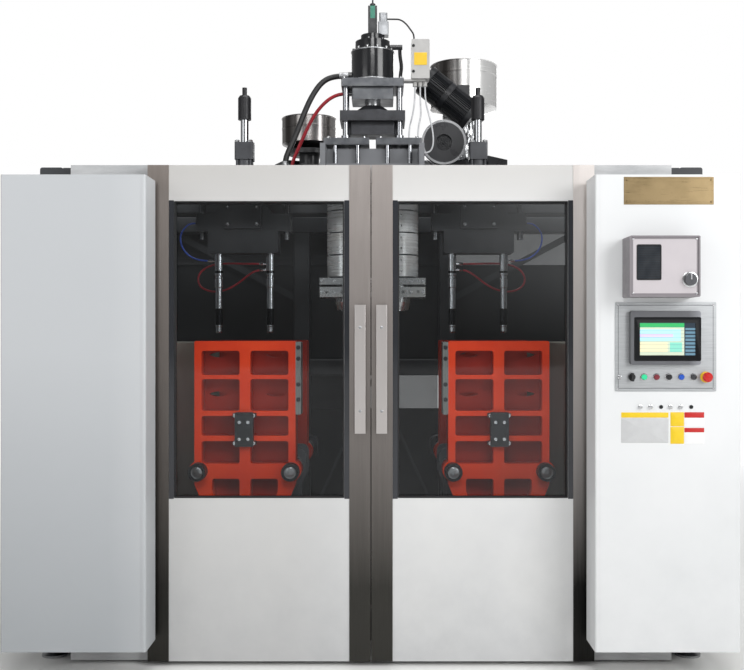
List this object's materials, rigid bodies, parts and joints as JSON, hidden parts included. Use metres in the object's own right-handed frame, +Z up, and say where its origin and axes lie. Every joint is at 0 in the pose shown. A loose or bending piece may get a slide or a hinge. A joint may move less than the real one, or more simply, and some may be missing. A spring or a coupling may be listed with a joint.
{
  "type": "blow moulding machine",
  "caption": "Double-station extrusion blow moulding machine: sliding glazed doors, shuttling ribbed platens, twin die head with wall-thickness cylinder, blow pins and operator panel.",
  "frame": {"origin": "on the floor under the middle of the machine's box", "axes": "+Z up, front towards -Y, +X to the right as seen from the front"},
  "size_m": [3, 2.356, 3.105],
  "materials": {
    "black_steel": "semi-gloss black",
    "bright_steel": "ground and hard-chromed steel",
    "button_blue": "cap",
    "button_green": "lit cap",
    "button_maroon": "cap",
    "frame_grey": "satin machine paint",
    "hose_black": "matt rubber",
    "hose_red": "satin tube",
    "instrument_black": "matt moulded",
    "light_grey": "smooth light grey",
    "machine_grey": "grey steel",
    "pane": "clear sheet, polished",
    "platen_orange": "orange-red enamel over a casting",
    "rail_grey": "smooth powder coat",
    "stainless": "brushed stainless sheet",
    "stop_red": "mushroom cap",
    "white_sheet": "fine-textured powder coat"
  },
  "bodies": {
    "machine": {"blow_cylinders": "black_steel", "carriage_rails": "bright_steel", "cooling_blower": "black_steel", "cylinder_instruments": "instrument_black", "die_head_body": "machine_grey", "die_plates": "bright_steel", "die_tips": "bright_steel", "door_rails": "rail_grey", "extruder_barrels": "machine_grey", "head_plates": "machine_grey", "heater_bands": "stainless", "junction_box": "light_grey", "left_cabinet": "white_sheet", "left_extruder_drive": "black_steel", "left_extruder_hopper": "stainless", "levelling_feet": "machine_grey", "machine_frame": "frame_grey", "operator_panel": "stainless", "programmer_unit": "light_grey", "programming_cylinder": "black_steel", "right_cabinet": "white_sheet", "right_extruder_drive": "black_steel", "right_extruder_hopper": "stainless", "roof_hoses_and_leads": "hose_black", "sheet_covers": "white_sheet", "shuttle_cylinders": "black_steel", "touch_screen_unit": "light_grey"},
    "left_door": {"left_door_panel": "white_sheet", "left_door_stiles_and_handle": "stainless", "left_window": "pane"},
    "right_door": {"right_door_panel": "white_sheet", "right_door_stiles_and_handle": "stainless", "right_window": "pane"},
    "left_carriage": {"left_carriage": "machine_grey"},
    "right_carriage": {"right_carriage": "machine_grey"},
    "left_front_clamp": {"left_front_platen": "platen_orange", "left_tie_bars": "bright_steel", "left_clamp_unit": "black_steel"},
    "right_front_clamp": {"right_front_platen": "platen_orange", "right_tie_bars": "bright_steel", "right_clamp_unit": "black_steel"},
    "left_rear_clamp": {"left_rear_platen": "platen_orange"},
    "right_rear_clamp": {"right_rear_platen": "platen_orange"},
    "left_blow_unit": {"left_blow_carrier": "black_steel", "left_blow_pins_and_rods": "bright_steel", "left_blow_hoses": "hose_red"},
    "right_blow_unit": {"right_blow_carrier": "black_steel", "right_blow_pins_and_rods": "bright_steel", "right_blow_hoses": "hose_red"},
    "mandrel_crosshead": {"mandrel_crosshead": "black_steel"},
    "left_screw": {"left_extruder_screw": "machine_grey"},
    "right_screw": {"right_extruder_screw": "machine_grey"},
    "programmer_knob": {"programmer_knob": "instrument_black"},
    "selector": {"selector_switch": "instrument_black"},
    "green_button": {"green_button": "button_green"},
    "maroon_button": {"maroon_button": "button_maroon"},
    "black_button": {"black_button": "instrument_black"},
    "blue_button": {"blue_button": "button_blue"},
    "grey_button": {"grey_button": "instrument_black"},
    "stop_button": {"stop_button": "stop_red"}
  },
  "joints": [
    {"name": "left_door_slide", "type": "slide", "parent": "machine", "child": "left_door", "axis": [-1, 0, 0], "range_m": [0, 0.49]},
    {"name": "left_carriage_shuttle", "type": "slide", "parent": "machine", "child": "left_carriage", "axis": [1, 0, 0], "range_m": [-0.058, 0.59]},
    {"name": "left_platen_close", "type": "slide", "parent": "left_carriage", "child": "left_front_clamp", "axis": [0, 1, 0], "range_m": [0, 0.17]},
    {"name": "left_rear_platen_close", "type": "slide", "parent": "left_carriage", "child": "left_rear_clamp", "axis": [0, 1, 0], "range_m": [-0.17, 0]},
    {"name": "left_blow_stroke", "type": "slide", "parent": "machine", "child": "left_blow_unit", "axis": [0, 0, 1], "range_m": [-0.095, 0]},
    {"name": "left_screw_turn", "type": "hinge", "parent": "machine", "child": "left_screw", "pos_m": [-0.13, 0.1483, 2.293], "axis": [-0.4305, 0.9026, 0], "continuous": true},
    {"name": "right_door_slide", "type": "slide", "parent": "machine", "child": "right_door", "axis": [1, 0, 0], "range_m": [0, 0.49]},
    {"name": "right_carriage_shuttle", "type": "slide", "parent": "machine", "child": "right_carriage", "axis": [1, 0, 0], "range_m": [-0.59, 0]},
    {"name": "right_platen_close", "type": "slide", "parent": "right_carriage", "child": "right_front_clamp", "axis": [0, 1, 0], "range_m": [0, 0.17]},
    {"name": "right_rear_platen_close", "type": "slide", "parent": "right_carriage", "child": "right_rear_clamp", "axis": [0, 1, 0], "range_m": [-0.17, 0]},
    {"name": "right_blow_stroke", "type": "slide", "parent": "machine", "child": "right_blow_unit", "axis": [0, 0, 1], "range_m": [-0.095, 0]},
    {"name": "right_screw_turn", "type": "hinge", "parent": "machine", "child": "right_screw", "pos_m": [0.13, 0.1483, 2.293], "axis": [0.6756, 0.7373, 0], "continuous": true},
    {"name": "mandrel_stroke", "type": "slide", "parent": "machine", "child": "mandrel_crosshead", "axis": [0, 0, 1], "range_m": [-0.012, 0]},
    {"name": "programmer_knob_turn", "type": "hinge", "parent": "machine", "child": "programmer_knob", "pos_m": [1.258, -1.15, 1.628], "axis": [0, 1, 0], "continuous": true},
    {"name": "selector_turn", "type": "hinge", "parent": "machine", "child": "selector", "pos_m": [1.0565, -1.0447, 1.24], "axis": [0, 1, 0], "range_deg": [-45, 45]},
    {"name": "green_button_press", "type": "slide", "parent": "machine", "child": "green_button", "axis": [0, 1, 0], "range_m": [0, 0.004], "stiffness_N_per_m": 900},
    {"name": "maroon_button_press", "type": "slide", "parent": "machine", "child": "maroon_button", "axis": [0, 1, 0], "range_m": [0, 0.004], "stiffness_N_per_m": 900},
    {"name": "black_button_press", "type": "slide", "parent": "machine", "child": "black_button", "axis": [0, 1, 0], "range_m": [0, 0.004], "stiffness_N_per_m": 900},
    {"name": "blue_button_press", "type": "slide", "parent": "machine", "child": "blue_button", "axis": [0, 1, 0], "range_m": [0, 0.004], "stiffness_N_per_m": 900},
    {"name": "grey_button_press", "type": "slide", "parent": "machine", "child": "grey_button", "axis": [0, 1, 0], "range_m": [0, 0.004], "stiffness_N_per_m": 900},
    {"name": "stop_button_press", "type": "slide", "parent": "machine", "child": "stop_button", "axis": [0, 1, 0], "range_m": [0, 0.006]}
  ],
  "couplings": [
    {"joint": "left_rear_platen_close", "follows": "left_platen_close", "ratio": -1},
    {"joint": "right_rear_platen_close", "follows": "right_platen_close", "ratio": -1}
  ]
}
